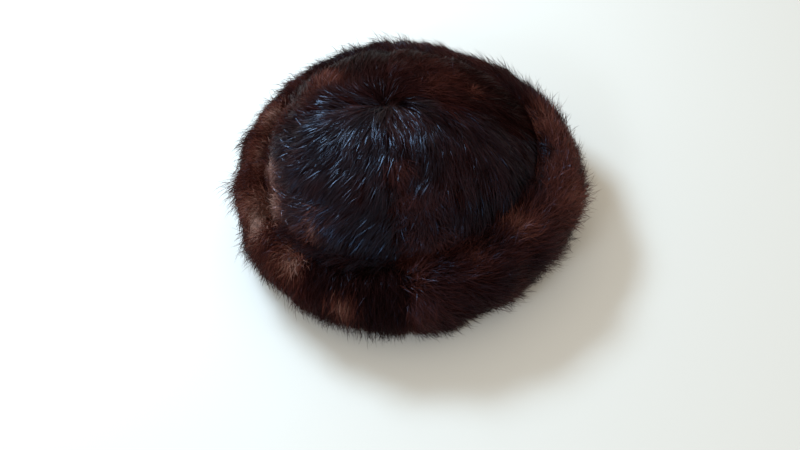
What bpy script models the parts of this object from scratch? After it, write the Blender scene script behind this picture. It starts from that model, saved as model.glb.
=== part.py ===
# Fur hat: a domed crown sewn from four gores, seated in a padded rolled brim made of two halves.
# Metres, +Z up. The origin is the middle of the hat's outline, on the plane z = 0 that the foot rests on.
# The hat's front is -Y and its right side, seen from above with the front towards the viewer, is +X.

import math
import random

import bmesh
import bpy
from mathutils import Vector

# Driving dimensions of the hat's wall, taken at the top of the dense underfur
HEAD_RADIUS = 0.0865  # inside of the head opening, a head of 54 cm
CROWN_WALL = 0.0080  # hide and underfur of the dome
CROWN_HEIGHT = 0.1120  # table to the top of the dome
VALLEY_HEIGHT = 0.0495  # table to the groove between crown and brim
BRIM_HEIGHT = 0.0540  # table to the crest of the roll
BRIM_RADIUS = 0.1310  # middle of the hat to the widest ring of the roll
SHOULDER_WIDTH = 0.0175  # from the widest ring in to the crest of the roll
FOOT_TUCK = 0.0140  # from the widest ring in to the outer edge of the flat foot
BULGE_HEIGHT = 0.0290  # table to the widest ring
SEAM_GAP = 0.0003  # between two pieces that are sewn together
SEAM_DEPTH = 0.0024  # how far the fur sinks at a seam

# The guard hair, as locks that lie along the nap
CROWN_LOCK_LENGTH = 0.027
CROWN_LOCK_WIDTH = 0.0146
BRIM_LOCK_LENGTH = 0.024
BRIM_LOCK_WIDTH = 0.0168
LOCK_THICKNESS = 0.0040
LOCK_SINK = 0.0010  # how deep a lock's root lies under the underfur
LOCK_RISE = 0.0042  # how far its tip stands off the underfur
FLOOR_CLEARANCE = 0.0012  # the least height of a lock over the table
VALLEY_CLEARANCE = 0.0035  # crown locks stop this far above the groove's walls

# How the soft hat has settled on the table
APEX_LEAN = 0.0065  # the top of the dome lies this far to the left
MIDDLE_SHIFT = 0.0058  # from the front and back seams to the middle of the outline, which bulges to the right
FORWARD_SHIFT = 0.0021  # from the left and right seams to the middle of the outline, which bulges to the back
SEAM_REACH = 0.0100  # how far beside a seam the fur is drawn in
# where the crown's side is pushed out: towards which azimuth, how wide and how far
CROWN_BULGES = (
    {"azimuth": math.radians(228), "spread": math.radians(32), "out": 0.0085},
    {"azimuth": math.radians(4), "spread": math.radians(48), "out": 0.0080},
)
# lobes of the brim's outline: how many, their share of the radius, the azimuth of one crest
PLAN_LOBES = (
    {"count": 1, "share": 0.024, "crest": math.radians(0)},
    {"count": 2, "share": 0.007, "crest": math.radians(-45)},
    {"count": 3, "share": 0.023, "crest": math.radians(-13)},
    {"count": 4, "share": 0.013, "crest": math.radians(0)},
)

# Azimuths run from +X, the right side, towards +Y, the back, and meet at the seams
RIGHT, BACK, LEFT, FRONT = (math.radians(a) for a in (0, 90, 180, 270))
TURN = 2 * math.pi
# the nap of a gore runs towards this azimuth, all over the gore
GORES = (
    {"name": "crown_front_left", "from": LEFT, "to": FRONT, "nap": math.radians(222)},
    {"name": "crown_front_right", "from": FRONT, "to": TURN, "nap": math.radians(262)},
    {"name": "crown_back_right", "from": RIGHT, "to": BACK, "nap": math.radians(38)},
    {"name": "crown_back_left", "from": BACK, "to": LEFT, "nap": math.radians(140)},
)
# the nap of a brim half turns this far from straight outwards, towards the front seam or away from it
BRIM_HALVES = (
    {"name": "brim_left", "from": BACK, "to": FRONT, "turn": math.radians(16)},
    {"name": "brim_right", "from": FRONT, "to": FRONT + math.pi, "turn": math.radians(46)},
)
CROWN_ROWS = 5  # rows of locks, from the whorl to the groove
BRIM_ROWS = 4  # from the groove over the crest and down
NAP_FOLLOW = 0.75  # 1 is a nap parallel to the gore's azimuth, 0 one that runs straight down

# How finely the walls are built
TURN_STEPS = 56
ARC_STEPS = 4
DOME_STEPS = 8
CUTTER_SIZE = 1.0

# Derived sizes
crown_radius = HEAD_RADIUS + CROWN_WALL
ledge_radius = crown_radius + SEAM_GAP
ledge_height = VALLEY_HEIGHT - SEAM_GAP
crest_radius = BRIM_RADIUS - SHOULDER_WIDTH
foot_radius = BRIM_RADIUS - FOOT_TUCK

FUR_COLOURS = {
    "crown_front_left": (0.020, 0.014, 0.017),
    "crown_front_right": (0.022, 0.012, 0.012),
    "crown_back_right": (0.034, 0.014, 0.012),
    "crown_back_left": (0.012, 0.008, 0.008),
    "brim_left": (0.048, 0.021, 0.018),
    "brim_right": (0.044, 0.017, 0.013),
}


def clear_scene():
    for found in list(bpy.data.objects):
        bpy.data.objects.remove(found)


def new_collection(name):
    made = bpy.data.collections.new(name)
    bpy.context.scene.collection.children.link(made)
    return made


def fur_material(name, colour):
    made = bpy.data.materials.new(name)
    made.use_nodes = True
    shader = made.node_tree.nodes["Principled BSDF"]
    shader.inputs["Base Color"].default_value = (*colour, 1)
    shader.inputs["Roughness"].default_value = 0.55
    shader.inputs["Metallic"].default_value = 0
    return made


def arc(centre, across, up, start, end, steps):
    """Points of an elliptical arc in the section plane, as (radius, height), both ends included."""
    points = []
    for step in range(steps + 1):
        angle = math.radians(start + (end - start) * step / steps)
        points.append((centre[0] + across * math.cos(angle), centre[1] + up * math.sin(angle)))
    return points


def brim_arcs(steps):
    """The fur side of the roll: up from the valley to the crest, over to the bulge, down to the foot."""
    inner_slope = arc((crest_radius, ledge_height), crest_radius - ledge_radius, BRIM_HEIGHT - ledge_height, 180, 90, steps)
    outer_slope = arc((crest_radius, BULGE_HEIGHT), BRIM_RADIUS - crest_radius, BRIM_HEIGHT - BULGE_HEIGHT, 90, 0, steps)
    under_turn = arc((foot_radius, BULGE_HEIGHT), BRIM_RADIUS - foot_radius, BULGE_HEIGHT, 0, -90, steps)
    return inner_slope + outer_slope[1:] + under_turn[1:]


def crown_arc(steps):
    """The fur side of the dome, from its top down to the valley."""
    return arc((0, VALLEY_HEIGHT), crown_radius, CROWN_HEIGHT - VALLEY_HEIGHT, 90, 0, steps)


def crown_profile():
    inside = arc((0, VALLEY_HEIGHT), HEAD_RADIUS, CROWN_HEIGHT - VALLEY_HEIGHT - CROWN_WALL, 0, 90, DOME_STEPS)
    return crown_arc(DOME_STEPS) + inside


def brim_profile():
    return [(HEAD_RADIUS, 0), (HEAD_RADIUS, ledge_height)] + brim_arcs(ARC_STEPS)


def turned(name, profile, collection, closed):
    """A profile in the XZ plane, turned once round Z by a Screw modifier."""
    count = len(profile)
    edges = [(i, i + 1) for i in range(count - 1)] + ([(count - 1, 0)] if closed else [])
    mesh = bpy.data.meshes.new(name)
    mesh.from_pydata([(radius, 0, height) for radius, height in profile], edges, [])
    made = bpy.data.objects.new(name, mesh)
    collection.objects.link(made)
    screw = made.modifiers.new("turn", "SCREW")
    screw.steps = screw.render_steps = TURN_STEPS
    screw.use_merge_vertices = True
    screw.merge_threshold = 1e-5
    made.hide_render = True
    made.display_type = "WIRE"
    return made


def evaluated_mesh(source, name):
    """A new mesh of the object with its modifiers applied, its doubles merged and its faces pointing out."""
    graph = bpy.context.evaluated_depsgraph_get()
    mesh = bpy.data.meshes.new_from_object(source.evaluated_get(graph))
    mesh.name = name
    work = bmesh.new()
    work.from_mesh(mesh)
    bmesh.ops.remove_doubles(work, verts=work.verts, dist=1e-6)
    bmesh.ops.recalc_face_normals(work, faces=work.faces)
    work.to_mesh(mesh)
    work.free()
    return mesh


def sector_cutter(name, start, end, collection):
    """A block that fills the sector between two seam planes, half a seam gap inside each. One plane
    is enough for a half turn, and a quarter turn has two at right angles."""
    made = bpy.data.objects.new(name, bpy.data.meshes.new(name))
    work = bmesh.new()
    bmesh.ops.create_cube(work, size=CUTTER_SIZE)
    quarter = end - start < math.pi - 0.01
    shift_x = CUTTER_SIZE / 2 + SEAM_GAP / 2 if quarter else 0
    bmesh.ops.translate(work, verts=work.verts, vec=(shift_x, CUTTER_SIZE / 2 + SEAM_GAP / 2, 0))
    work.to_mesh(made.data)
    work.free()
    made.rotation_euler.z = start
    made.hide_render = True
    made.display_type = "WIRE"
    collection.objects.link(made)
    return made


def along(points, share):
    """The (radius, height) and the direction at a share of a section's length, with the length."""
    steps = [math.dist(a, b) for a, b in zip(points, points[1:])]
    length = sum(steps)
    left = min(max(share, 0), 1) * length
    for (a, b), step in zip(zip(points, points[1:]), steps):
        if left <= step or (a, b) == (points[-2], points[-1]):
            part = left / step
            place = (a[0] + (b[0] - a[0]) * part, a[1] + (b[1] - a[1]) * part)
            return place, ((b[0] - a[0]) / step, (b[1] - a[1]) / step), length
        left -= step
    return points[-1], (0, -1), length


def station(points, azimuth, share):
    """A point on a turned surface, its outward normal, and the directions down the section and round the hat."""
    (radius, height), (out, up), _ = along(points, share)
    radial = Vector((math.cos(azimuth), math.sin(azimuth), 0))
    round_way = Vector((-math.sin(azimuth), math.cos(azimuth), 0))
    down_way = radial * out + Vector((0, 0, up))
    normal = radial * -up + Vector((0, 0, out))
    return radial * radius + Vector((0, 0, height)), normal, down_way, round_way


def lock_points(points, azimuth, share, heading, length, width):
    """The eight ring corners and the tip of one lock. It starts under the fur at the given place and
    follows the surface along its heading, measured from straight down the section."""
    section_length = along(points, 0)[2]
    rings = []
    # how far along the lock, width and thickness as shares of the lock's own, height over the underfur
    for part, wide, thick, lift in ((0, 0.55, 0.9, -LOCK_SINK), (0.55, 1, 1, 0.45 * LOCK_RISE), (1, 0, 0, LOCK_RISE)):
        radius = max(along(points, share)[0][0], width)
        here = azimuth + math.sin(heading) * length * part / radius
        where = share + math.cos(heading) * length * part / section_length
        place, normal, down_way, round_way = station(points, here, where)
        flow = down_way * math.cos(heading) + round_way * math.sin(heading)
        side = normal.cross(flow).normalized() * width * wide / 2
        up = normal * LOCK_THICKNESS * thick / 2
        middle = place + normal * lift
        rings.append([middle] if wide == 0 else [middle + side, middle + up, middle - side, middle - up])
    return rings


def add_lock(work, rings):
    base, middle = ([work.verts.new(corner) for corner in ring] for ring in rings[:2])
    tip = work.verts.new(rings[2][0])
    faces = [work.faces.new(base[::-1])]
    for i in range(4):
        j = (i + 1) % 4
        faces.append(work.faces.new((base[i], base[j], middle[j], middle[i])))
        faces.append(work.faces.new((middle[i], middle[j], tip)))
    bmesh.ops.recalc_face_normals(work, faces=faces)


def in_sector(point, start, end, margin):
    """True if a point lies inside the sector by at least the margin from both seam planes."""
    from_start = -math.sin(start) * point.x + math.cos(start) * point.y
    from_end = math.sin(end) * point.x - math.cos(end) * point.y
    return from_start > margin and from_end > margin


def crown_heading(azimuth, nap):
    """How far a gore's nap turns from straight down, so that it runs towards the nap's azimuth."""
    difference = (nap - azimuth + math.pi) % TURN - math.pi
    return NAP_FOLLOW * difference


def over_valley(point):
    """True if a crown lock's point is clear of the brim's inner slope."""
    radius = math.hypot(point.x, point.y)
    clear_height = BRIM_HEIGHT if radius > ledge_radius - VALLEY_CLEARANCE else VALLEY_HEIGHT
    return point.z > clear_height - VALLEY_CLEARANCE / 2


def lock_mesh(name, points, piece, length, width, rows, first, last, heading_at, allowed):
    """All locks of one piece in one mesh, staggered row by row. The first and the last row start at
    these shares of the section."""
    picker = random.Random(name)
    work = bmesh.new()
    for row in range(rows):
        share = first + (last - first) * row / (rows - 1)
        radius = along(points, share)[0][0]
        count = max(1, round(radius * (piece["end"] - piece["start"]) / (1.06 * width)))
        for column in range(count):
            place = (column + 0.5 + 0.5 * (row % 2) + picker.uniform(-0.15, 0.15)) / count
            azimuth = piece["start"] + (piece["end"] - piece["start"]) * place
            heading = heading_at(azimuth) + math.radians(picker.uniform(-7, 7))
            size = picker.uniform(0.88, 1.1)
            where = share + picker.uniform(-0.012, 0.012)
            rings = lock_points(points, azimuth, where, heading, length * size, width * size)
            corners = [corner for ring in rings for corner in ring]
            if all(in_sector(c, piece["start"], piece["end"], SEAM_GAP * 2) and allowed(c) for c in corners):
                add_lock(work, rings)
    mesh = bpy.data.meshes.new(name)
    work.to_mesh(mesh)
    work.free()
    return mesh


def boolean(target, operation, other, overlapping):
    modifier = target.modifiers.new(operation.lower(), "BOOLEAN")
    modifier.operation = operation
    modifier.solver = "EXACT"
    modifier.use_self = overlapping
    modifier.object = other


def fur_piece(name, wall, locks, start, end, parts, helpers):
    """One sewn piece: its sector of the turned wall with the locks fused on, settled into its real shape."""
    base = bpy.data.objects.new(name + "_base", wall.data.copy())
    helpers.objects.link(base)
    base.hide_render = True
    cutter = sector_cutter(name + "_sector", start, end, helpers)
    hair = bpy.data.objects.new(name + "_locks", locks)
    helpers.objects.link(hair)
    hair.hide_render = True
    boolean(base, "INTERSECT", cutter, False)
    boolean(base, "UNION", hair, True)
    mesh = evaluated_mesh(base, name)
    for vertex in mesh.vertices:
        vertex.co = settle(vertex.co)
    for helper in (base, cutter, hair):
        bpy.data.objects.remove(helper)
    mesh.shade_smooth()
    mesh.set_sharp_from_angle(angle=math.radians(35))
    mesh.materials.append(fur_material(name, FUR_COLOURS[name]))
    made = bpy.data.objects.new(name, mesh)
    parts.objects.link(made)
    return made


def smooth_step(value):
    value = min(max(value, 0), 1)
    return value * value * (3 - 2 * value)


def outline_share(azimuth):
    return 1 + sum(lobe["share"] * math.cos(lobe["count"] * (azimuth - lobe["crest"])) for lobe in PLAN_LOBES)


def crown_share(azimuth):
    share = 1
    for bulge in CROWN_BULGES:
        away = (azimuth - bulge["azimuth"] + math.pi) % TURN - math.pi
        share += bulge["out"] / crown_radius * math.exp(-((away / bulge["spread"]) ** 2))
    return share


def seam_draw(point, radius):
    """How far the fur sinks beside the nearest seam. Only the front and back seams cross the brim."""
    beside_seam = abs(point.x)
    if radius < crown_radius or point.z > BRIM_HEIGHT:
        beside_seam = min(beside_seam, abs(point.y))
    return SEAM_DEPTH * math.exp(-((beside_seam / SEAM_REACH) ** 2))


def fur_depth(point, radius):
    """0 at the inside of the wall or the foot, 1 at the fur side."""
    dome = math.hypot(radius / crown_radius, max(point.z - VALLEY_HEIGHT, 0) / (CROWN_HEIGHT - VALLEY_HEIGHT))
    if radius > ledge_radius:
        return smooth_step((radius - ledge_radius) / (crest_radius - ledge_radius)) * min(1, point.z / BULGE_HEIGHT)
    if point.z < VALLEY_HEIGHT:
        return 0
    inside = HEAD_RADIUS / crown_radius
    return smooth_step((dome - inside) / (1 - inside))


def settle(point):
    """Moves a point of the round hat to where it lies on the real one: the outline's lobes, the crown's
    bulge and lean, and the fur drawn in at the seams."""
    radius = math.hypot(point.x, point.y)
    azimuth = math.atan2(point.y, point.x)
    outward = smooth_step((radius - crown_radius) / (BRIM_RADIUS - crown_radius))
    low = 1 - smooth_step((point.z - VALLEY_HEIGHT) / (CROWN_HEIGHT - VALLEY_HEIGHT))
    inner_share = 1 + (crown_share(azimuth) - 1) * low * smooth_step(point.z / VALLEY_HEIGHT)
    share = inner_share * (1 - outward) + outline_share(azimuth) * outward
    above_valley = max(point.z - VALLEY_HEIGHT, 0) / (CROWN_HEIGHT - VALLEY_HEIGHT)
    lean = APEX_LEAN * above_valley if radius < crown_radius + SEAM_GAP / 2 else 0
    settled = Vector((point.x * share - lean - MIDDLE_SHIFT, point.y * share - FORWARD_SHIFT, point.z))
    from_middle = Vector((point.x, point.y, max(point.z - VALLEY_HEIGHT, 0)))
    if radius > ledge_radius:
        from_middle = Vector((point.x, point.y, 0)) * (1 - crest_radius / radius) + Vector((0, 0, point.z - BULGE_HEIGHT))
    if from_middle.length < 1e-9:
        return settled
    sunk = seam_draw(point, radius) * fur_depth(point, radius)
    return settled - from_middle.normalized() * sunk


def make_crown(parts, helpers):
    dome = turned("dome", crown_profile(), helpers, False)
    wall = bpy.data.objects.new("dome_wall", evaluated_mesh(dome, "dome_wall"))
    section = crown_arc(4 * DOME_STEPS)
    for gore in GORES:
        name = gore["name"]
        piece = {"start": gore["from"], "end": gore["to"]}
        locks = lock_mesh(
            name + "_locks", section, piece, CROWN_LOCK_LENGTH, CROWN_LOCK_WIDTH, CROWN_ROWS, 0.05, 0.78,
            lambda azimuth, nap=gore["nap"]: crown_heading(azimuth, nap), over_valley,
        )
        fur_piece(name, wall, locks, piece["start"], piece["end"], parts, helpers)
    bpy.data.objects.remove(dome)
    bpy.data.objects.remove(wall)


def make_brim(parts, helpers):
    roll = turned("roll", brim_profile(), helpers, True)
    wall = bpy.data.objects.new("roll_wall", evaluated_mesh(roll, "roll_wall"))
    section = brim_arcs(4 * ARC_STEPS)
    for half in BRIM_HALVES:
        name = half["name"]
        piece = {"start": half["from"], "end": half["to"]}
        locks = lock_mesh(
            name + "_locks", section, piece, BRIM_LOCK_LENGTH, BRIM_LOCK_WIDTH, BRIM_ROWS, 0.10, 0.64,
            lambda azimuth, turn=half["turn"]: turn, lambda point: point.z > FLOOR_CLEARANCE,
        )
        fur_piece(name, wall, locks, piece["start"], piece["end"], parts, helpers)
    bpy.data.objects.remove(roll)
    bpy.data.objects.remove(wall)


def main():
    clear_scene()
    parts = new_collection("fur_hat")
    helpers = new_collection("helpers")
    make_crown(parts, helpers)
    make_brim(parts, helpers)


main()
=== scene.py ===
import math

import bmesh
import bpy
import numpy as np
from mathutils import Matrix


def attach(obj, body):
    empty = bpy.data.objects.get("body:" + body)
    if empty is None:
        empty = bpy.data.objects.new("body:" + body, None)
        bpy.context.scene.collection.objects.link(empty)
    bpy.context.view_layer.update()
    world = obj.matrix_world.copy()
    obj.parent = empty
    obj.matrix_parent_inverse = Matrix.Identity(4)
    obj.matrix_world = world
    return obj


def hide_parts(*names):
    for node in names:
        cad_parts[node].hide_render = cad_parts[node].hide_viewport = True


# Fur hat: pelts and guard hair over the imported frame. Metres, +Z up, the front seam towards -Y.
# Azimuths run from +X, the hat's right side, towards +Y, the back. A share runs along a zone's section: on
# the crown from the top to the groove, on the brim from the groove over the crest to the foot.

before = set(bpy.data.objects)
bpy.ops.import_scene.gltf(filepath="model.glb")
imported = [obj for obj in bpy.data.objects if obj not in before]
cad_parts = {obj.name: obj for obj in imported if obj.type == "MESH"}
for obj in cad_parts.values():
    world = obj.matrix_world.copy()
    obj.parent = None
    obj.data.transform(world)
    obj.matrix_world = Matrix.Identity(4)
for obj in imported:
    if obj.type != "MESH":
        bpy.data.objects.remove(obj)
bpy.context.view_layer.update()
scene = bpy.context.scene
turn = 2 * math.pi

hatForm = {  # the sizes of the frame's solids
    "headRadius": 0.0865,
    "crownWall": 0.0080,
    "crownHeight": 0.1120,
    "valleyHeight": 0.0495,
    "brimHeight": 0.0540,
    "crestRadius": 0.1135,
    "brimRadius": 0.1310,
    "bulgeHeight": 0.0290,
    "footRadius": 0.1170,
    "seamGap": 0.0003,
    "seamDepth": 0.0024,
    "seamReach": 0.0100,
    "apexLean": 0.0065,
    "middleShift": 0.0058,
    "forwardShift": 0.0021,
}
crownBulges = [  # where the crown's side is pushed out: degrees, degrees, metres
    {"azimuth": 228, "spread": 32, "out": 0.0085},
    {"azimuth": 4, "spread": 48, "out": 0.0080},
]
brimLobes = [  # lobes of the brim's outline: how many go round, share of the radius, degrees
    {"count": 1, "share": 0.024, "crest": 0},
    {"count": 2, "share": 0.007, "crest": -45},
    {"count": 3, "share": 0.023, "crest": -13},
    {"count": 4, "share": 0.013, "crest": 0},
]
domeHeight = hatForm["crownHeight"] - hatForm["valleyHeight"]
crownRadius = hatForm["headRadius"] + hatForm["crownWall"]
ledgeRadius = crownRadius + hatForm["seamGap"]
ledgeHeight = hatForm["valleyHeight"] - hatForm["seamGap"]


# Smooth step: 3t^2 - 2t^3, with t kept between 0 and 1
def smoothStep(value):
    t = np.clip(value, 0, 1)
    return t * t * (3 - 2 * t)


# Difference of two angles, brought to -pi..pi
def angleBetween(a, b):
    return (a - b + math.pi) % turn - math.pi


# Weight of a direction round the hat: exp(-(angle to the sector's middle / its spread)^2)
def sectorWeight(azimuth, sector):
    away = angleBetween(azimuth, math.radians(sector["azimuth"])) / math.radians(sector["spread"])
    return np.exp(-(away**2))


# Settled shape: (x, y) times a share that goes from the crown's bulges to the brim's lobes with the
# radius, and the crown leans to the left in step with its height
def settle(points, zone):
    x, y, z = points[..., 0], points[..., 1], points[..., 2]
    radius, azimuth = np.hypot(x, y), np.arctan2(y, x)
    above = np.maximum(z - hatForm["valleyHeight"], 0) / domeHeight
    outward = smoothStep((radius - crownRadius) / (hatForm["brimRadius"] - crownRadius))
    inner = np.zeros_like(x)
    for bulge in crownBulges:
        inner += bulge["out"] / crownRadius * sectorWeight(azimuth, bulge)
    inner *= (1 - smoothStep(above)) * smoothStep(z / hatForm["valleyHeight"])
    outer = np.zeros_like(x)
    for lobe in brimLobes:
        outer += lobe["share"] * np.cos(lobe["count"] * (azimuth - math.radians(lobe["crest"])))
    share = 1 + inner * (1 - outward) + outer * outward
    lean = hatForm["apexLean"] * above if zone == "crown" else 0
    settledX = x * share - lean - hatForm["middleShift"]
    return np.stack([settledX, y * share - hatForm["forwardShift"], z], -1)


arcSteps = 90  # in each arc of a section


# Elliptical arc: centre + (across cos a, up sin a), a from start to end in even steps
def ellipseArc(centre, across, up, start, end):
    a = np.radians(np.linspace(start, end, arcSteps + 1))
    return np.stack([centre[0] + across * np.cos(a), centre[1] + up * np.sin(a)], -1)


# Section as a table: radius, height and unit normal against the share of its length, or of the part
# of it that lies before the point numbered "whole"
def sectionTable(points, whole=-1):
    steps = np.diff(points, axis=0)
    lengths = np.hypot(steps[:, 0], steps[:, 1])
    reached = np.concatenate([[0], np.cumsum(lengths)])
    shares = reached / reached[whole]
    return {
        "length": reached[whole],
        "share": shares,
        "radius": points[:, 0],
        "height": points[:, 1],
        "middle": (shares[1:] + shares[:-1]) / 2,
        "outward": -steps[:, 1] / lengths,
        "upward": steps[:, 0] / lengths,
    }


# Crown's section: a quarter of an ellipse, from the top down to the groove
def crownArc():
    return ellipseArc((0, hatForm["valleyHeight"]), crownRadius, domeHeight, 90, 0)


# Brim's section: three quarters of ellipses, up to the crest, down to the widest ring and under to the foot
def brimArc():
    crest, foot, bulge = hatForm["crestRadius"], hatForm["footRadius"], hatForm["bulgeHeight"]
    top, widest = hatForm["brimHeight"], hatForm["brimRadius"]
    innerSlope = ellipseArc((crest, ledgeHeight), crest - ledgeRadius, top - ledgeHeight, 180, 90)
    outerSlope = ellipseArc((crest, bulge), widest - crest, top - bulge, 90, 0)
    underTurn = ellipseArc((foot, bulge), widest - foot, bulge, 0, -90)
    return np.concatenate([innerSlope, outerSlope[1:], underTurn[1:]])


furBridge = {  # how the fur's section is smoothed over the groove
    "step": 0.0005,
    "window": 45,  # points, an odd number
    "reach": 0.016,
    "fade": 1.6,  # it fades out at this many reaches from the valley, and is whole one reach nearer
}


# Section that the fur follows over the groove: the crown's arc and then the brim's, each point moved to
# the mean of its neighbours in a window as wide as the groove near the valley, and none elsewhere
def furSection():
    crown, brim = crownArc(), brimArc()
    line = np.concatenate([crown, brim[1:]])
    reached = np.concatenate([[0], np.cumsum(np.hypot(*np.diff(line, axis=0).T))])
    even = np.arange(0, reached[-1], furBridge["step"])
    radius, height = np.interp(even, reached, line[:, 0]), np.interp(even, reached, line[:, 1])
    valley = reached[len(crown) - 1]
    window = np.hanning(furBridge["window"])
    window /= window.sum()
    margin = furBridge["window"] // 2
    near = smoothStep(furBridge["fade"] - np.abs(even - valley) / furBridge["reach"])
    smooth = [np.convolve(np.pad(values, margin, "edge"), window, "valid") for values in (radius, height)]
    radius, height = radius + near * (smooth[0] - radius), height + near * (smooth[1] - height)
    return sectionTable(np.stack([radius, height], -1), int(round(valley / furBridge["step"])))


sections = {"crown": sectionTable(crownArc()), "brim": sectionTable(brimArc()), "fur": furSection()}


# Point and normal of the round surface at (azimuth, share of the section)
def onSurface(zone, azimuth, share):
    section = sections[zone]
    azimuth, share = np.broadcast_arrays(azimuth, share)
    radius = np.interp(share, section["share"], section["radius"])
    height = np.interp(share, section["share"], section["height"])
    outward = np.interp(share, section["middle"], section["outward"])
    upward = np.interp(share, section["middle"], section["upward"])
    cosine, sine = np.cos(azimuth), np.sin(azimuth)
    point = np.stack([radius * cosine, radius * sine, height], -1)
    normal = np.stack([outward * cosine, outward * sine, upward], -1)
    return point, normal / np.linalg.norm(normal, axis=-1, keepdims=True)


# Point and normal at (azimuth, share of the zone) on the section that the fur follows
def onFur(zone, azimuth, share):
    if zone == "brim":
        share = 1 + share * sections["brim"]["length"] / sections["fur"]["length"]
    return onSurface("fur", azimuth, share)


leastRadius = 0.002  # a walk that starts nearer to the top counts from here


# Walk on the surface from (azimuth, share): "around" metres towards +azimuth and "down" metres along
# the section. On the crown it goes straight in a chart whose radius is the distance from the top.
def walk(zone, azimuth, share, around, down):
    section = sections[zone]
    radius = np.maximum(np.interp(share, section["share"], section["radius"]), leastRadius)
    if zone == "brim":
        return azimuth + around / radius, share + down / section["length"]
    fromTop = share * section["length"]
    alongOut = fromTop + down
    alongRound = around * np.maximum(fromTop, leastRadius) / radius
    return azimuth + np.arctan2(alongRound, alongOut), np.hypot(alongOut, alongRound) / section["length"]


# Distance to the nearest seam: |x| at the front and the back, and on the crown |y| at the sides too
def seamDistance(zone, points):
    beside = np.abs(points[..., 0])
    return np.minimum(beside, np.abs(points[..., 1])) if zone == "crown" else beside


# How far the pelt sinks at the nearest seam: depth times exp(-(distance / reach)^2)
def seamDraw(zone, points):
    return hatForm["seamDepth"] * np.exp(-((seamDistance(zone, points) / hatForm["seamReach"]) ** 2))


noiseForm = {"waves": 14, "fineness": (0.6, 1.4)}


# Smooth noise: the mean of sines of random directions, scaled to about -1..1
def smoothNoise(points, size, seed):
    picker = np.random.default_rng(seed)
    total = np.zeros(points.shape[:-1])
    for _ in range(noiseForm["waves"]):
        direction = picker.normal(size=3)
        direction *= turn / size / np.linalg.norm(direction) * picker.uniform(*noiseForm["fineness"])
        total += np.sin(points @ direction + picker.uniform(0, turn))
    return total / math.sqrt(noiseForm["waves"] / 2)


furTones = {  # 0 is black hair, 0.45 red brown, 1 pale underfur
    "crown": 0.08,
    "brim": 0.23,
    "mottle": 0.06,
    "mottleSize": 0.035,
    "mottleSeed": 5,
}
furPatches = {  # where the underfur shows, or the fur is darker, and painted shade on the brim's outer side at the front right: place, metres, change of tone
    "crown": [
        {"azimuth": 270, "share": 0.03, "reach": 0.005, "tone": 0.42},
        {"azimuth": 187, "share": 0.92, "reach": 0.013, "tone": 0.95},
        {"azimuth": 195, "share": 0.90, "reach": 0.026, "tone": 0.14},
        {"azimuth": 163, "share": 0.84, "reach": 0.016, "tone": 0.30},
        {"azimuth": 17, "share": 0.60, "reach": 0.010, "tone": 0.45},
        {"azimuth": 40, "share": 0.42, "reach": 0.036, "tone": 0.14},
        {"azimuth": 206, "share": 0.97, "reach": 0.013, "tone": 0.80},
        {"azimuth": 230, "share": 0.86, "reach": 0.010, "tone": 0.72},
        {"azimuth": 155, "share": 0.55, "reach": 0.009, "tone": 0.30},
        {"azimuth": 135, "share": 0.50, "reach": 0.010, "tone": 0.60},
        {"azimuth": 277, "share": 0.74, "reach": 0.014, "tone": 0.17, "only": "crown_front_right"},
        {"azimuth": 276, "share": 0.56, "reach": 0.012, "tone": 0.12, "only": "crown_front_right"},
        {"azimuth": 262, "share": 0.55, "reach": 0.018, "tone": -0.12, "only": "crown_front_left"},
        {"azimuth": 280, "share": 0.95, "reach": 0.020, "tone": 0.18, "only": "crown_front_right"},
        {"azimuth": 255, "share": 0.95, "reach": 0.024, "tone": -0.16, "only": "crown_front_left"},
    ],
    "brim": [
        {"azimuth": 358, "share": 0.03, "reach": 0.012, "tone": -0.20},
        {"azimuth": 2, "share": 0.45, "reach": 0.022, "tone": 0.28},
        {"azimuth": 14, "share": 0.12, "reach": 0.012, "tone": 0.30},
        {"azimuth": 345, "share": 0.38, "reach": 0.022, "tone": 0.33},
        {"azimuth": 319, "share": 0.20, "reach": 0.012, "tone": 0.37},
        {"azimuth": 300, "share": 0.16, "reach": 0.010, "tone": 0.30},
        {"azimuth": 179, "share": 0.12, "reach": 0.011, "tone": 0.55},
        {"azimuth": 157, "share": 0.13, "reach": 0.012, "tone": 1.00},
        {"azimuth": 201, "share": 0.08, "reach": 0.009, "tone": 0.45},
        {"azimuth": 190, "share": 0.30, "reach": 0.050, "tone": 0.12},
        {"azimuth": 208, "share": 0.40, "reach": 0.012, "tone": 0.95},
        {"azimuth": 229, "share": 0.38, "reach": 0.011, "tone": 0.80},
        {"azimuth": 250, "share": 0.48, "reach": 0.011, "tone": 0.88},
        {"azimuth": 263, "share": 0.36, "reach": 0.032, "tone": -0.38, "only": "brim_left"},
        {"azimuth": 245, "share": 0.24, "reach": 0.022, "tone": -0.34, "only": "brim_left"},
        {"azimuth": 277, "share": 0.30, "reach": 0.020, "tone": 0.08, "only": "brim_right"},
        {"azimuth": 112, "share": 0.30, "reach": 0.026, "tone": -0.26},
        {"azimuth": 288, "share": 0.38, "reach": 0.018, "tone": -0.14, "only": "brim_right"},
        # painted shade: the brim's outer side low at the front right, which faces away from the light, is
        # darker here
        {"azimuth": 316, "share": 0.43, "reach": 0.012, "tone": -0.22},
        {"azimuth": 303, "share": 0.46, "reach": 0.012, "tone": -0.22},
    ],
}


# Weight of a spot at settled points: exp(-(distance to its settled middle / its reach)^2)
def spotWeight(zone, spot, points):
    middle, _ = onSurface(zone, math.radians(spot["azimuth"]), spot["share"])
    away = np.linalg.norm(points - settle(middle, zone), axis=-1) / spot["reach"]
    return np.exp(-(away**2))


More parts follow.
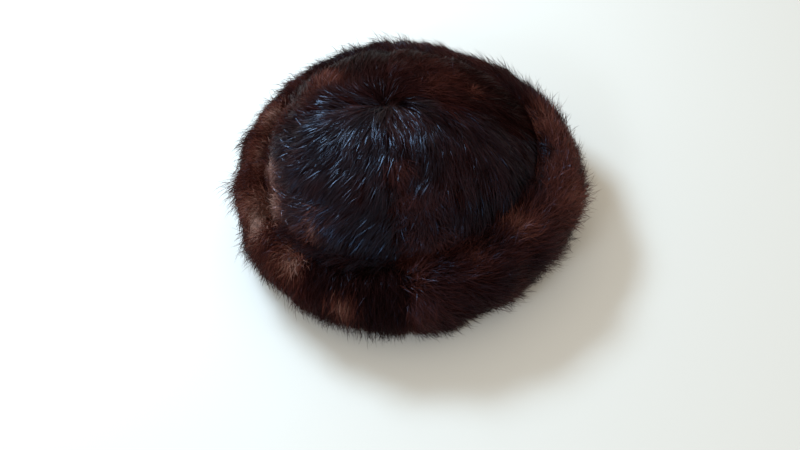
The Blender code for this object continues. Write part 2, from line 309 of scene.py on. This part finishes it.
# Tone and patch weight at settled points. Tone: the zone's, plus the mottle, plus each patch's change
# times its weight. Patch weight: pale patches count up and dark ones down, kept between 0 and 1.
def toneAt(zone, node, points):
    mottle = smoothNoise(points, furTones["mottleSize"], furTones["mottleSeed"])
    tone = furTones[zone] + furTones["mottle"] * mottle
    puff = np.zeros(points.shape[:-1])
    for patch in furPatches[zone]:
        if patch.get("only", node) == node:
            weight = spotWeight(zone, patch, points)
            tone += patch["tone"] * weight
            puff += weight * np.sign(patch["tone"])
    return tone, np.clip(puff, 0, 1)


# Which way the nap lies, in degrees: it turns from straight down by follow * (towards - azimuth), and by
# "turned", which goes evenly from one of these shares to the next
napRows = {
    "crown_front_left": {
        "towards": 235, "follow": 0.15, "shares": [0.0, 0.3, 0.7, 1.0], "turned": [2, -5, -42, -40],
    },
    "crown_front_right": {"towards": 262, "follow": 0.62, "shares": [0.0, 1.0], "turned": [0, 0]},
    "crown_back_right": {"towards": 36, "follow": 0.65, "shares": [0.0, 1.0], "turned": [0, 0]},
    "crown_back_left": {"towards": 60, "follow": 0.62, "shares": [0.0, 1.0], "turned": [0, 0]},
    "brim_left": {"towards": 0, "follow": 0, "shares": [0.0, 0.3, 0.62, 1.0], "turned": [4, 0, -4, -4]},
    "brim_right": {"towards": 0, "follow": 0, "shares": [0.0, 0.3, 0.62, 1.0], "turned": [95, 76, 44, 26]},
}
easedSeams = {  # the nap of both pelts eases to one turn at these seams, so that no parting shows: degrees
    "crown": [
        {"azimuth": 0, "spread": 20, "turned": -18},
        {"azimuth": 180, "spread": 18, "turned": -26},
    ],
    "brim": [{"azimuth": 90, "spread": 20, "turned": 22}],
}


# Heading of the nap at (azimuth, share): its row's, moved towards the seam's by the seam's weight
def napAt(zone, node, azimuth, share):
    nap = napRows[node]
    aim = angleBetween(math.radians(nap["towards"]), azimuth)
    heading = nap["follow"] * aim + np.radians(np.interp(share, nap["shares"], nap["turned"]))
    for seam in easedSeams[zone]:
        heading += sectorWeight(azimuth, seam) * (math.radians(seam["turned"]) - heading)
    return heading


# Mesh from arrays: vertices (n, 3), corner indices, corner counts per face, uv per corner
def meshFromArrays(name, vertices, corners, faceSizes, uv):
    mesh = bpy.data.meshes.new(name)
    mesh.vertices.add(len(vertices))
    mesh.vertices.foreach_set("co", vertices.astype(np.float32).ravel())
    mesh.loops.add(corners.size)
    mesh.loops.foreach_set("vertex_index", corners.astype(np.int32).ravel())
    mesh.polygons.add(len(faceSizes))
    starts = np.concatenate([[0], np.cumsum(faceSizes)[:-1]])
    mesh.polygons.foreach_set("loop_start", starts.astype(np.int32))
    mesh.uv_layers.new(name="OFBake")
    mesh.uv_layers["OFBake"].uv.foreach_set("vector", uv.astype(np.float32).ravel())
    mesh.update(calc_edges=True)
    mesh.shade_smooth()
    made = bpy.data.objects.new(name, mesh)
    scene.collection.objects.link(made)
    return made


hairStrip = {  # one hair: two quads and a triangle on seven points, two at each station and one at the tip
    "widths": np.array([0.75, 1.0, 0.7]),  # shares of its width, at the stations before the tip
    "corners": np.array([0, 1, 3, 2, 2, 3, 5, 4, 4, 5, 6]),
    "sides": np.array([-1, 1, -1, 1, -1, 1, 0]),  # of each point
    "faceSizes": [4, 4, 3],
    "uvMargin": 0.01,
    "uvHalfWidth": 0.006,
    "tiny": 1e-12,  # keeps a length of nothing from dividing by nothing
}
hairStations = np.array([0, 0.36, 0.7, 1.0])  # shares of its length


# Hair ribbons: each hair is a strip with sides P - W S / 2 and P + W S / 2 along its path P(t), and
# its tip is a point. S = T x N, where T is the path's direction and N the surface normal rolled
# round T. u is the hair's tone and v the share of its length.
def ribbons(name, paths, normals, widths, rolls, tones):
    count, corner, margin = len(paths), hairStrip["corners"], hairStrip["uvMargin"]
    along = np.gradient(paths, axis=1)
    along /= np.linalg.norm(along, axis=-1, keepdims=True) + hairStrip["tiny"]
    side = np.cross(along, normals)
    side /= np.linalg.norm(side, axis=-1, keepdims=True) + hairStrip["tiny"]
    facing = np.cross(side, along)
    side = side * np.cos(rolls)[:, None, None] - facing * np.sin(rolls)[:, None, None]
    half = side[:, :-1] * (widths[:, None] * hairStrip["widths"])[..., None] / 2
    points = len(hairStrip["sides"])
    vertices = np.empty((count, points, 3))
    vertices[:, 0:-1:2] = paths[:, :-1] - half
    vertices[:, 1:-1:2] = paths[:, :-1] + half
    vertices[:, -1] = paths[:, -1]
    corners = np.arange(count)[:, None] * points + corner
    edge = hairStrip["sides"][corner] * hairStrip["uvHalfWidth"]
    uv = np.empty((count, len(corner), 2))
    uv[..., 0] = np.clip(tones, margin, 1 - margin)[:, None] + edge
    uv[..., 1] = margin + (1 - 2 * margin) * hairStations[corner // 2]
    faceSizes = np.tile(hairStrip["faceSizes"], count)
    return meshFromArrays(name, vertices.reshape(-1, 3), corners, faceSizes, uv)


hairStyles = {  # guard hair of each zone: metres, degrees, shares
    "crown": {
        "hairs": 24000, "perClump": 10, "top": 0.004, "bottom": 0.97, "overlap": 1.0,
        "length": 0.026, "rise": 0.0031, "bend": 1.6, "sink": 0.0016, "width": 0.00044,
        "clumpRadius": 0.0032, "pull": 0.42, "clumpTurn": 6, "clumpRoll": 45,
        "wander": 9, "wanderSize": 0.030, "hairTurn": 4, "hairRoll": 28, "curl": 0.05, "toneSpread": 0.05,
        "puffShort": 0.45, "puffTurn": 30, "edgeShort": 0.15, "loose": 0.2, "looseRise": 0.3,
    },
    "brim": {
        "hairs": 39000, "perClump": 6, "top": 0.03, "bottom": 0.93, "overlap": 0.3,
        "length": 0.020, "rise": 0.0046, "bend": 1.25, "sink": 0.0016, "width": 0.00046,
        "clumpRadius": 0.0030, "pull": 0.26, "clumpTurn": 8, "clumpRoll": 45,
        "wander": 8, "wanderSize": 0.028, "hairTurn": 7, "hairRoll": 35, "curl": 0.06, "toneSpread": 0.06,
        "puffShort": 0.45, "puffTurn": 30, "edgeShort": 0, "loose": 0.30, "looseRise": 0.70,
    },
}
hairVariety = {  # what both zones share: a pair is the least and the most
    "clumpLength": (0.8, 1.15),
    "length": (0.75, 1.1),
    "edgeFrom": 0.78,  # the crown's locks get shorter from here, over this share, towards the groove
    "edgeOver": 0.19,
    "clumpRise": (0.7, 1.3),
    "riseNoise": 0.35,
    "riseNoiseSize": 0.028,
    "leastRise": 0.3,
    "rise": (0.7, 1.25),
    "width": (0.7, 1.25),
    "looseApart": 2,  # loose hairs stand further from their clump's middle, and are thinner
    "looseThinner": 0.35,
    "toneFrom": 0.58,  # a lock has the tone of the place this share of its length ahead
    "floorGap": 0.0006,
    "floorSpread": 0.0012,
}
scatterForm = {"steps": 400, "topWeight": 0.0015}  # the weight, in metres, keeps the top from being bare
groove = {"fill": 0.0075, "reach": 0.016, "seam": 0.0018, "seamReach": 0.0035}  # how the fur bridges it
flatBrim = {  # beyond the crest the brim's fur lies flatter in places: degrees, degrees, share of its rise
    "from": 0.12,
    "over": 0.18,
    "spots": [
        {"azimuth": 182, "spread": 20, "flatter": 0.50},
        {"azimuth": 254, "spread": 14, "flatter": 0.60},
        {"azimuth": 106, "spread": 14, "flatter": 0.50},
        {"azimuth": 316, "spread": 14, "flatter": 0.50},
    ],
}
sheenHold = 0.9  # how much of its own roll a lock gives up in the middle of a sheen spot
sheenSpots = {  # locks that turn their flat side to the light, or away: place, metres, degrees, degrees
    "crown_front_right": [
        {"azimuth": 340, "share": 0.13, "reach": 0.009, "turned": 0, "roll": -55},
        {"azimuth": 306, "share": 0.34, "reach": 0.010, "turned": -18, "roll": 33},
        {"azimuth": 298, "share": 0.60, "reach": 0.011, "turned": -46, "roll": 50},
    ],
    "crown_front_left": [
        {"azimuth": 222, "share": 0.29, "reach": 0.007, "turned": 8, "roll": 10},
        {"azimuth": 246, "share": 0.21, "reach": 0.006, "turned": 8, "roll": 15},
    ],
    "brim_right": [{"azimuth": 279, "share": 0.44, "reach": 0.010, "turned": -56, "roll": 28}],
}


# Random places on a piece: azimuth even, share by area, so that its density is even
def scatter(piece, style, count, picker):
    section, overlap = sections[piece["zone"]], style["overlap"]
    shares = np.linspace(style["top"], style["bottom"], scatterForm["steps"])
    weight = np.interp(shares, section["share"], section["radius"]) + scatterForm["topWeight"]
    spread = np.concatenate([[0], np.cumsum((weight[1:] + weight[:-1]) / 2)])
    share = np.interp(picker.uniform(0, spread[-1], count), spread, shares)
    azimuth = np.radians(picker.uniform(piece["from"] - overlap, piece["to"] + overlap, count))
    return azimuth, share


# Clumps of a piece: each stands at a random place and heads along the nap, with some wander. Its tone is
# that of the place it covers, and the sheen spots there turn it and give it their roll by their weight.
def plantClumps(piece, style, seed, picker):
    zone, node = piece["zone"], piece["node"]
    clumps = style["hairs"] // style["perClump"]
    azimuth, share = scatter(piece, style, clumps, picker)
    place = settle(onSurface(zone, azimuth, share)[0], zone)
    wander = smoothNoise(place, style["wanderSize"], seed + 1) * math.radians(style["wander"])
    wander += picker.normal(0, math.radians(style["clumpTurn"]), clumps)
    heading = napAt(zone, node, azimuth, share) + wander
    ahead = hairVariety["toneFrom"] * style["length"]
    covered = walk(zone, azimuth, share, np.sin(heading) * ahead, np.cos(heading) * ahead)
    coveredPlace = settle(onFur(zone, *covered)[0], zone)
    tone, puff = toneAt(zone, node, coveredPlace)
    sheen, sheenRoll = np.zeros(clumps), np.zeros(clumps)
    for spot in sheenSpots.get(node, []):
        weight = spotWeight(zone, spot, coveredPlace)
        heading = heading + weight * math.radians(spot["turned"])
        sheen += weight
        sheenRoll += weight * math.radians(spot["roll"])
    return {
        "azimuth": azimuth, "share": share, "place": place, "heading": heading,
        "tone": tone, "puff": puff, "sheen": np.minimum(sheen, 1), "sheenRoll": sheenRoll,
    }


# Share of its rise that a clump keeps: 1, and on the brim less each flat spot's weight beyond the crest
def keptRise(zone, clump):
    kept = np.ones(len(clump["share"]))
    if zone == "brim":
        for spot in flatBrim["spots"]:
            beyond = smoothStep((clump["share"] - flatBrim["from"]) / flatBrim["over"])
            kept -= spot["flatter"] * sectorWeight(clump["azimuth"], spot) * beyond
    return kept


# Paths of the hairs: each starts at its clump's middle plus an offset that shrinks towards the tip, walks
# along its heading, rises off the pelt by rise * (1 - (1 - t)^bend), and by more over the groove
def hairPaths(zone, style, hair):
    t = hairStations[None, :]
    shrink = 1 - style["pull"] * t
    around = (np.sin(hair["heading"]) * hair["length"])[:, None] * t + hair["offRound"][:, None] * shrink
    around += hair["curl"][:, None] * t * t
    down = (np.cos(hair["heading"]) * hair["length"])[:, None] * t + hair["offDown"][:, None] * shrink
    places = walk(zone, hair["azimuth"][:, None], hair["share"][:, None], around, down)
    base, normals = onFur(zone, *places)
    beyond = (places[1] - (1 if zone == "crown" else 0)) * sections[zone]["length"]
    fill = groove["fill"] * np.exp(-((beyond / groove["reach"]) ** 2)) * (1 - (1 - t) ** 2) * normals[..., 2]
    lift = hair["rise"][:, None] * (1 - (1 - t) ** style["bend"]) + fill - style["sink"]
    lift -= groove["seam"] * np.exp(-((seamDistance(zone, base) / groove["seamReach"]) ** 2))
    return settle(base + normals * lift[..., None], zone), normals


# Guard hair of a piece: each hair takes its clump's heading, length, rise, roll and tone with some change
# of its own. Loose hairs among them stand higher and further out, and are thinner.
def growHair(name, piece, style, seed):
    picker = np.random.default_rng(seed)
    zone, variety = piece["zone"], hairVariety
    clump = plantClumps(piece, style, seed, picker)
    clumps = len(clump["share"])
    member = np.repeat(np.arange(clumps), style["perClump"])
    count = len(member)

    loose = picker.uniform(0, 1, count) < style["loose"]
    hairTurn = style["hairTurn"] + style["puffTurn"] * clump["puff"][member] + style["hairTurn"] * loose
    heading = clump["heading"][member] + picker.normal(0, 1, count) * np.radians(hairTurn)
    clumpLength = picker.uniform(*variety["clumpLength"], clumps) * (1 - style["puffShort"] * clump["puff"])
    nearGroove = smoothStep((clump["share"] - variety["edgeFrom"]) / variety["edgeOver"])
    clumpLength *= 1 - style["edgeShort"] * nearGroove
    length = style["length"] * clumpLength[member] * picker.uniform(*variety["length"], count)

    clumpRise = picker.uniform(*variety["clumpRise"], clumps)
    clumpRise *= 1 + variety["riseNoise"] * smoothNoise(clump["place"], variety["riseNoiseSize"], seed + 2)
    rise = style["rise"] * np.maximum(clumpRise, variety["leastRise"])[member]
    rise *= picker.uniform(*variety["rise"], count)
    rise *= np.where(loose, 1 + style["looseRise"], keptRise(zone, clump)[member])

    spin = picker.uniform(0, turn, count)
    apart = style["clumpRadius"] * np.sqrt(picker.uniform(0, 1, count)) * (1 + variety["looseApart"] * loose)
    curl = picker.normal(0, style["curl"], count) * length
    paths, normals = hairPaths(zone, style, {
        "azimuth": clump["azimuth"][member], "share": clump["share"][member], "heading": heading,
        "length": length, "rise": rise, "curl": curl,
        "offRound": apart * np.cos(spin), "offDown": apart * np.sin(spin),
    })
    offFloor = variety["floorSpread"] * picker.uniform(0, 1, count)[:, None] * hairStations[None, :]
    paths[..., 2] = np.maximum(paths[..., 2], variety["floorGap"] + offFloor)

    widths = style["width"] * picker.uniform(*variety["width"], count) * (1 - variety["looseThinner"] * loose)
    rolls = picker.normal(0, math.radians(style["clumpRoll"]), clumps)[member]
    rolls += picker.normal(0, math.radians(style["hairRoll"]), count)
    rolls = rolls * (1 - sheenHold * clump["sheen"][member]) + clump["sheenRoll"][member]
    tones = clump["tone"][member] + picker.normal(0, style["toneSpread"], count)
    return ribbons(name, paths, normals, widths, rolls, tones)


furPalette = [  # tone, colour
    (0.00, (0.0085, 0.0028, 0.0028)),
    (0.22, (0.0215, 0.0056, 0.0050)),
    (0.42, (0.0560, 0.0155, 0.0110)),
    (0.60, (0.1150, 0.0380, 0.0270)),
    (0.80, (0.2000, 0.1050, 0.0850)),
    (1.00, (0.3000, 0.1900, 0.1650)),
]


# Material with these values on its shader's own sockets
def newMaterial(name, sockets):
    made = bpy.data.materials.new(name)
    made.use_nodes = True
    shader = made.node_tree.nodes["Principled BSDF"]
    for socket, value in sockets.items():
        shader.inputs[socket].default_value = value
    return made, made.node_tree, shader


# Colour ramp through these stops
def rampNode(tree, stops):
    ramp = tree.nodes.new("ShaderNodeValToRGB")
    while len(ramp.color_ramp.elements) < len(stops):
        ramp.color_ramp.elements.new(0.5)
    for element, (position, colour) in zip(ramp.color_ramp.elements, stops):
        element.position = position
        element.color = (*colour, 1)
    return ramp


# Noise on object coordinates
def noiseNode(tree, look):
    place = tree.nodes.new("ShaderNodeTexCoord")
    noise = tree.nodes.new("ShaderNodeTexNoise")
    noise.inputs["Scale"].default_value = look["scale"]
    noise.inputs["Detail"].default_value = look["detail"]
    tree.links.new(place.outputs["Object"], noise.inputs["Vector"])
    return noise


# Bump from such a noise, on the shader's normal
def addBump(tree, shader, look):
    bump = tree.nodes.new("ShaderNodeBump")
    bump.inputs["Strength"].default_value = look["strength"]
    bump.inputs["Distance"].default_value = look["distance"]
    tree.links.new(noiseNode(tree, look).outputs["Fac"], bump.inputs["Height"])
    tree.links.new(bump.outputs["Normal"], shader.inputs["Normal"])


guardHairLook = {
    "shader": {"Roughness": 0.28, "Specular Tint": (0.32, 0.58, 1.0, 1)},
    # painted shade along each hair: darker towards the root, where the hairs shade each other, and a little
    # darker at the tip
    "shade": [(0.0, (0.4, 0.4, 0.4)), (0.35, (0.8, 0.8, 0.8)), (0.8, (1, 1, 1)), (1.0, (0.8, 0.8, 0.8))],
}


# Guard hair: palette(u) * shade(v), a painted shade that is darker at the root, where the hairs shade each
# other, and a little darker at the tip, with a bluish gloss
def guardHairMaterial(name, gloss):
    made, tree, shader = newMaterial(name, {**guardHairLook["shader"], "Specular IOR Level": gloss})
    place = tree.nodes.new("ShaderNodeUVMap")
    place.uv_map = "OFBake"
    split = tree.nodes.new("ShaderNodeSeparateXYZ")
    palette, shade = rampNode(tree, furPalette), rampNode(tree, guardHairLook["shade"])
    mix = tree.nodes.new("ShaderNodeMix")
    mix.data_type = "RGBA"
    mix.blend_type = "MULTIPLY"
    mix.inputs["Factor"].default_value = 1
    tree.links.new(place.outputs["UV"], split.inputs["Vector"])
    tree.links.new(split.outputs["X"], palette.inputs["Fac"])
    tree.links.new(split.outputs["Y"], shade.inputs["Fac"])
    tree.links.new(palette.outputs["Color"], mix.inputs["A"])
    tree.links.new(shade.outputs["Color"], mix.inputs["B"])
    tree.links.new(mix.outputs["Result"], shader.inputs["Base Color"])
    return made


underfurLook = {
    "shader": {"Roughness": 0.95, "Specular IOR Level": 0.1},
    "matting": {"scale": 900, "detail": 3, "strength": 0.8, "distance": 0.0012},
}


# Underfur of the pelt: palette(tone attribute), with a fine matted bump
def underfurMaterial():
    made, tree, shader = newMaterial("underfur", underfurLook["shader"])
    tone = tree.nodes.new("ShaderNodeAttribute")
    tone.attribute_name = "tone"
    palette = rampNode(tree, furPalette)
    tree.links.new(tone.outputs["Fac"], palette.inputs["Fac"])
    tree.links.new(palette.outputs["Color"], shader.inputs["Base Color"])
    addBump(tree, shader, underfurLook["matting"])
    return made


hideLook = {
    "shader": {"Roughness": 0.9, "Specular IOR Level": 0.15},
    "mottle": {"scale": 60, "detail": 5},
    "colours": [(0.3, (0.085, 0.048, 0.030)), (0.7, (0.160, 0.098, 0.064))],
    "nap": {"scale": 1500, "detail": 2, "strength": 0.5, "distance": 0.0004},
}


# Flesh side of the hide, inside the head opening: a brown suede with soft mottling and a fine nap
def hideMaterial():
    made, tree, shader = newMaterial("hideSuede", hideLook["shader"])
    colours = rampNode(tree, hideLook["colours"])
    tree.links.new(noiseNode(tree, hideLook["mottle"]).outputs["Fac"], colours.inputs["Fac"])
    tree.links.new(colours.outputs["Color"], shader.inputs["Base Color"])
    addBump(tree, shader, hideLook["nap"])
    return made


underfur, hideSuede = underfurMaterial(), hideMaterial()
print("materials made")

peltForm = {
    "inset": 0.0012,
    "footRise": 0.0016,
    "roundSteps": 44,  # in a quarter of the round
    "sectionSteps": 40,
    "insideSteps": 14,
    "furFoot": 6,  # inside steps that are fur too: on the brim's foot, and on its ledge
    "furLedge": 4,
    "closedTop": 0.006,  # the seam's gap closes over this radius
    "toneShare": 0.8,
    "mergeDistance": 1e-6,
    "leastEdge": 1e-7,
}
peltMap = {  # the skin is a rectangle of the UV map, and the two caps lie side by side above it
    "skinU": (0.02, 0.98),
    "skinV": (0.02, 0.92),
    "capU": (0.02, 0.52),
    "capV": 0.94,
    "capSize": (0.45, 0.05),
    "capReach": (0.15, 0.12),  # radius and height that fill a cap
}


# Inside of a pelt as (radius, height): the dome's inner ellipse for a gore, and for the roll its foot,
# the head opening's wall and the ledge under the dome
def insideLine(zone):
    head, foot = hatForm["headRadius"], hatForm["footRadius"]
    inner = np.linspace(0, 1, peltForm["insideSteps"] + 1)
    if zone == "crown":
        a = inner * math.pi / 2
        return head * np.cos(a), hatForm["valleyHeight"] + (domeHeight - hatForm["crownWall"]) * np.sin(a)
    corners = [0, 0.4, 0.8, 1]
    radius = np.interp(inner, corners, [foot, head, head, ledgeRadius])
    return radius, np.interp(inner, corners, [0, 0, ledgeHeight, ledgeHeight])


# Points of a pelt: its closed section, the fur side less the inset and the seam's draw and then the
# inside, turned from one seam to the next. At each seam half the gap is left, less at the dome's top.
def peltGrid(piece):
    zone = piece["zone"]
    steps = peltForm["roundSteps"] * (2 if zone == "brim" else 1)
    azimuth = np.radians(np.linspace(piece["from"], piece["to"], steps + 1))
    share = np.linspace(0, 1, peltForm["sectionSteps"] + 1)
    base, normal = onSurface(zone, azimuth[:, None], share[None, :])
    furSide = base - normal * (peltForm["inset"] + seamDraw(zone, base))[..., None]
    radius, height = insideLine(zone)
    inside = np.stack([np.outer(np.cos(azimuth), radius), np.outer(np.sin(azimuth), radius)], -1)
    inside = np.concatenate([inside, np.broadcast_to(height[:, None], inside.shape[:2] + (1,))], -1)
    grid = np.concatenate([furSide, inside], axis=1)
    for row, sign in ((0, 1), (-1, -1)):
        fromTop = np.hypot(grid[row, :, 0], grid[row, :, 1])
        apart = hatForm["seamGap"] / 2 * smoothStep(fromTop / peltForm["closedTop"])
        grid[row] += np.outer(sign * apart, [-math.sin(azimuth[row]), math.cos(azimuth[row]), 0])
    if zone == "brim":
        grid[..., 2] = np.maximum(grid[..., 2], peltForm["footRise"])
    return settle(grid, zone)


# UV map of a pelt: the skin by rows and columns, and each cap by radius and height
def peltUv(grid):
    rows, columns = grid.shape[:2]
    u, v = np.linspace(*peltMap["skinU"], rows), np.linspace(*peltMap["skinV"], columns + 1)
    skinU = np.stack([u[:-1], u[1:], u[1:], u[:-1]], -1)[:, None, :].repeat(columns, 1)
    skinV = np.stack([v[:-1], v[:-1], v[1:], v[1:]], -1)[None].repeat(rows - 1, 0)
    across = peltMap["capSize"][0] * (np.hypot(grid[..., 0], grid[..., 1]) / peltMap["capReach"][0])
    up = peltMap["capSize"][1] * (grid[..., 2] / peltMap["capReach"][1])
    capU = np.concatenate([peltMap["capU"][0] + across[0], peltMap["capU"][1] + across[-1][::-1]])
    capV = peltMap["capV"] + np.concatenate([up[0], up[-1][::-1]])
    return np.concatenate([np.stack([skinU, skinV], -1).reshape(-1, 2), np.stack([capU, capV], -1)])


# Pelt of a piece: quads between the rows of its points, and a flat cap at each seam. The outer side is
# underfur, and the inside is hide, except for the brim's foot and ledge.
def makePelt(name, piece):
    grid = peltGrid(piece)
    rows, columns = grid.shape[:2]
    index = np.arange(rows * columns).reshape(rows, columns)
    after = np.roll(index, -1, 1)
    skin = np.stack([index[:-1], index[1:], after[1:], after[:-1]], -1).reshape(-1, 4)
    caps = np.concatenate([index[0], index[-1][::-1]])
    sizes = np.concatenate([np.full(len(skin), 4), [columns, columns]])
    corners = np.concatenate([skin.ravel(), caps])
    made = meshFromArrays(name, grid.reshape(-1, 3), corners, sizes, peltUv(grid))
    inFur = np.zeros((rows - 1, columns), bool)
    inFur[:, : peltForm["sectionSteps"]] = True
    if piece["zone"] == "brim":
        inFur[:, : peltForm["sectionSteps"] + peltForm["furFoot"]] = True
        inFur[:, -peltForm["furLedge"] :] = True
    slots = np.concatenate([np.where(inFur.ravel(), 0, 1), [0, 0]]).astype(np.int32)
    made.data.polygons.foreach_set("material_index", slots)
    tone, _ = toneAt(piece["zone"], piece["node"], grid.reshape(-1, 3))
    tones = made.data.attributes.new("tone", "FLOAT", "POINT")
    tones.data.foreach_set("value", (tone * peltForm["toneShare"]).astype(np.float32))
    made.data.materials.append(underfur)
    made.data.materials.append(hideSuede)
    closeSkin(made.data)
    return made


# Points that fall together at the top of the dome become one, and the faces are turned outwards
def closeSkin(mesh):
    work = bmesh.new()
    work.from_mesh(mesh)
    bmesh.ops.remove_doubles(work, verts=work.verts, dist=peltForm["mergeDistance"])
    bmesh.ops.dissolve_degenerate(work, edges=work.edges, dist=peltForm["leastEdge"])
    bmesh.ops.recalc_face_normals(work, faces=work.faces)
    work.to_mesh(mesh)
    work.free()


furPieces = [  # one row for each piece of the frame: the seams it runs between, in degrees, and its gloss
    {"node": "crown_front_left", "zone": "crown", "from": 180, "to": 270, "gloss": 0.26},
    {"node": "crown_front_right", "zone": "crown", "from": 270, "to": 360, "gloss": 0.17},
    {"node": "crown_back_right", "zone": "crown", "from": 0, "to": 90, "gloss": 0.02},
    {"node": "crown_back_left", "zone": "crown", "from": 90, "to": 180, "gloss": 0.02},
    {"node": "brim_left", "zone": "brim", "from": 90, "to": 270, "gloss": 0.025},
    {"node": "brim_right", "zone": "brim", "from": -90, "to": 90, "gloss": 0.09},
]
hairSeeds = {"first": 100, "step": 10}

for number, piece in enumerate(furPieces):
    zone, node = piece["zone"], piece["node"]
    pelt = makePelt(node + "_pelt", piece)
    seed = hairSeeds["first"] + hairSeeds["step"] * number
    hair = growHair(node + "_hair", piece, hairStyles[zone], seed)
    hair.data.materials.append(guardHairMaterial("guardHair_" + node, piece["gloss"]))
    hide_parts(node)
    for made in (pelt, hair):
        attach(made, "root")
print("pelts and guard hair made")

studio = {
    "floor": {"colour": (0.55, 0.56, 0.555), "roughness": 0.6, "size": 6.0},
    "key": {"place": (-0.56, 0.60, 0.77), "size": (0.40, 0.20), "power": 19, "colour": (0.68, 0.86, 1.0)},
    "side": {"place": (-0.78, -0.90, 0.80), "size": (0.35, 0.25), "power": 6, "colour": (0.72, 0.87, 1.0)},
    "fill": {"place": (1.5, -0.9, 1.3), "size": (1.2, 1.2), "power": 4, "colour": (1.0, 0.84, 0.70)},
    "world": {"colour": (1.0, 0.89, 0.73), "strength": 0.88},
}


# Floor: one square face at height 0
def makeFloor():
    look, half = studio["floor"], studio["floor"]["size"] / 2
    corners = [(-half, -half, 0), (half, -half, 0), (half, half, 0), (-half, half, 0)]
    mesh = bpy.data.meshes.new("floor")
    mesh.from_pydata(corners, [], [(0, 1, 2, 3)])
    floor = bpy.data.objects.new("floor", mesh)
    scene.collection.objects.link(floor)
    sockets = {"Roughness": look["roughness"], "Base Color": (*look["colour"], 1)}
    material, _, _ = newMaterial("paleFloor", sockets)
    mesh.materials.append(material)


# Area light at its place, turned to face the origin
def makeLight(name):
    values = studio[name]
    lamp = bpy.data.lights.new(name, "AREA")
    lamp.shape, lamp.size, lamp.size_y = "RECTANGLE", *values["size"]
    lamp.energy, lamp.color = values["power"], values["colour"]
    made = bpy.data.objects.new(name, lamp)
    made.location = values["place"]
    away = np.array(values["place"])
    tilt = math.acos(away[2] / np.linalg.norm(away))
    made.rotation_euler = (tilt, 0, math.atan2(away[1], away[0]) + math.pi / 2)
    scene.collection.objects.link(made)


# Even light from all round
def makeWorld():
    world = bpy.data.worlds.new("studio")
    scene.world = world
    world.use_nodes = True
    background = world.node_tree.nodes["Background"]
    background.inputs["Color"].default_value = (*studio["world"]["colour"], 1)
    background.inputs["Strength"].default_value = studio["world"]["strength"]


cameraView = {  # from a fit to the photo's outline: metres, degrees, pixels, millimetres
    "place": (-0.00078, -0.38490, 0.49845),
    "target": (-0.00830, -0.05443, 0.03500),
    "roll": -4.5,
    "focalPixels": 770,
    "frameWidth": 800,
    "sensorWidth": 36,
    "clip": (0.01, 20),
}


# Camera: it looks from its place to its target, and is rolled round that line
def makeCamera():
    lens = bpy.data.cameras.new("camera")
    lens.sensor_width = cameraView["sensorWidth"]
    lens.lens = cameraView["focalPixels"] * lens.sensor_width / cameraView["frameWidth"]
    lens.clip_start, lens.clip_end = cameraView["clip"]
    camera = bpy.data.objects.new("camera", lens)
    place, target = np.array(cameraView["place"]), np.array(cameraView["target"])
    ahead = (target - place) / np.linalg.norm(target - place)
    right = np.cross(ahead, [0, 0, 1])
    right /= np.linalg.norm(right)
    up = np.cross(right, ahead)
    roll = math.radians(cameraView["roll"])
    rolledRight = right * math.cos(roll) + up * math.sin(roll)
    rolledUp = up * math.cos(roll) - right * math.sin(roll)
    matrix = np.eye(4)
    matrix[:3] = np.stack([rolledRight, rolledUp, -ahead, place], -1)
    camera.matrix_world = Matrix(matrix.tolist())
    scene.collection.objects.link(camera)
    scene.camera = camera


makeFloor()
for name in ("key", "side", "fill"):
    makeLight(name)
makeWorld()
makeCamera()
scene.view_settings.view_transform = "Standard"
print("studio made")
